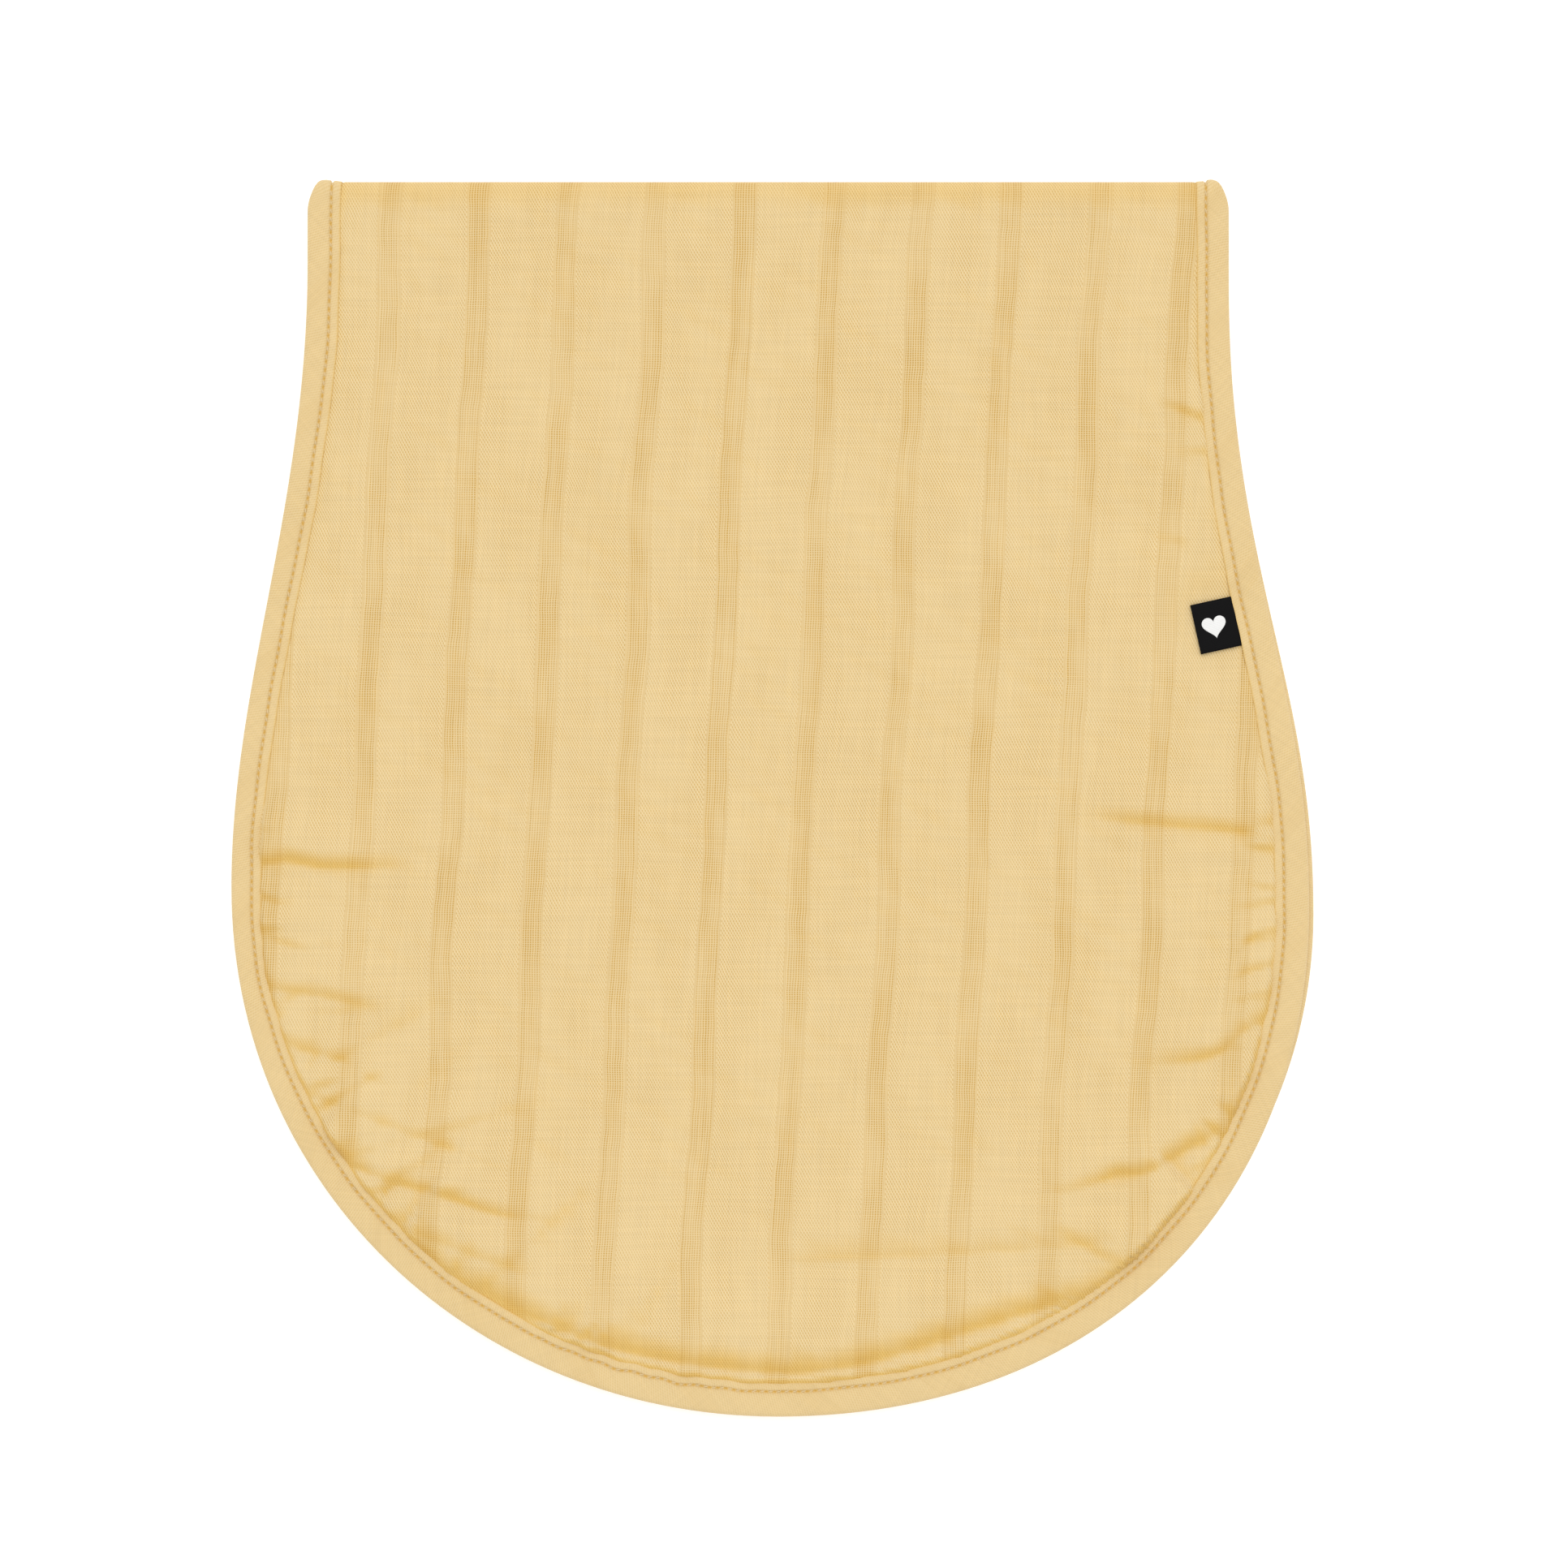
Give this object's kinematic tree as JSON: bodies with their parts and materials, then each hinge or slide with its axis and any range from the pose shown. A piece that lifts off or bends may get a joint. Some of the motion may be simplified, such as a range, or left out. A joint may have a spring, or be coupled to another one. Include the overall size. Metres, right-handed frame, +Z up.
{
  "type": "burp cloth",
  "caption": "Contoured muslin burp cloth, folded in half at its narrow waist, with a stitched bias binding round its edge and a small side label.",
  "frame": {"origin": "Under the middle of the folded cloth's box, on the surface that it lies on.", "axes": "+Z up, off the surface; +Y along the cloth from its round end towards the fold; +X to the right as seen from above."},
  "size_m": [0.2675, 0.3056, 0.0073],
  "materials": {
    "muslin_face": "soft woven muslin, dense stripes and open gauze stripes",
    "muslin_core": "soft woven muslin",
    "muslin_reverse": "soft woven muslin, dense stripes and open gauze stripes",
    "bias_binding": "bias-cut fine twill tape",
    "needle_thread": "spun sewing thread",
    "bobbin_thread": "spun sewing thread",
    "side_label": "black damask-woven label with a small plain white motif",
    "care_label": "white satin label, blank"
  },
  "bodies": {
    "lower_half": {"lower_outer_ply": "muslin_face", "lower_core_ply": "muslin_core", "lower_inner_ply": "muslin_reverse", "lower_binding": "bias_binding", "lower_needle_thread": "needle_thread", "lower_bobbin_thread": "bobbin_thread"},
    "fold_band": {"fold_outer_ply": "muslin_face", "fold_core_ply": "muslin_core", "fold_inner_ply": "muslin_reverse", "fold_binding_left": "bias_binding", "fold_binding_right": "bias_binding", "fold_needle_thread_left": "needle_thread", "fold_needle_thread_right": "needle_thread", "fold_bobbin_thread_left": "bobbin_thread", "fold_bobbin_thread_right": "bobbin_thread"},
    "upper_half": {"upper_outer_ply": "muslin_face", "upper_core_ply": "muslin_core", "upper_inner_ply": "muslin_reverse", "upper_binding": "bias_binding", "upper_needle_thread": "needle_thread", "upper_bobbin_thread": "bobbin_thread", "care_label": "care_label"},
    "side_label": {"side_label": "side_label"}
  },
  "joints": [
    {"name": "fold_lower_hinge", "type": "hinge", "parent": "lower_half", "child": "fold_band", "pos_m": [0, 0.15059, 0.00216], "axis": [-1, 0, 0], "range_deg": [0, 90], "deforming": ["fold_outer_ply", "fold_core_ply", "fold_inner_ply", "fold_binding_left", "fold_binding_right", "fold_needle_thread_left", "fold_needle_thread_right", "fold_bobbin_thread_left", "fold_bobbin_thread_right"]},
    {"name": "fold_upper_hinge", "type": "hinge", "parent": "fold_band", "child": "upper_half", "pos_m": [0, 0.15059, 0.00514], "axis": [-1, 0, 0], "range_deg": [0, 90]},
    {"name": "side_label_flap", "type": "hinge", "parent": "upper_half", "child": "side_label", "pos_m": [0.11313, 0.0434, 0.0073], "axis": [-0.2164, 0.9763, 0], "range_deg": [0, 150]}
  ],
  "couplings": [
    {"joint": "fold_lower_hinge", "follows": "fold_upper_hinge", "ratio": 1}
  ]
}
